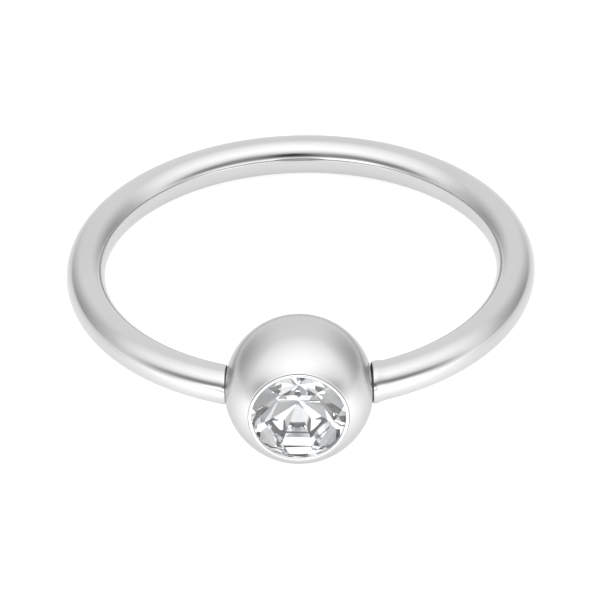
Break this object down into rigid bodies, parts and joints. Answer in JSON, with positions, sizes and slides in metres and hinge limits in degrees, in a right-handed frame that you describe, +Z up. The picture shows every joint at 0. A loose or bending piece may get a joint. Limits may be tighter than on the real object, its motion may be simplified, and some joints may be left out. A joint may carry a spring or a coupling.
{
  "type": "ball closure ring with a bezel-set crystal",
  "caption": "Round wire hoop closed by a ball that turns between the two wire ends and carries a faceted crystal in a rubbed-over setting.",
  "frame": {"origin": "On the surface that the jewel lies on, under the middle of its outline", "axes": "The ball is toward -Y and the back of the hoop toward +Y, +Z is up, and the two halves of the hoop mirror each other across X = 0"},
  "size_m": [0.0192, 0.0208, 0.006],
  "materials": {
    "hoop": "polished bright",
    "bead": "satin",
    "crystal": "clear, cut and polished"
  },
  "bodies": {
    "hoop": {"hoop": "hoop"},
    "bead": {"bead": "bead", "crystal": "crystal"}
  },
  "joints": [
    {"name": "bead_turn", "type": "hinge", "parent": "hoop", "child": "bead", "pos_m": [0, -0.00741, 0.00294], "axis": [1, 0, 0], "continuous": true}
  ]
}
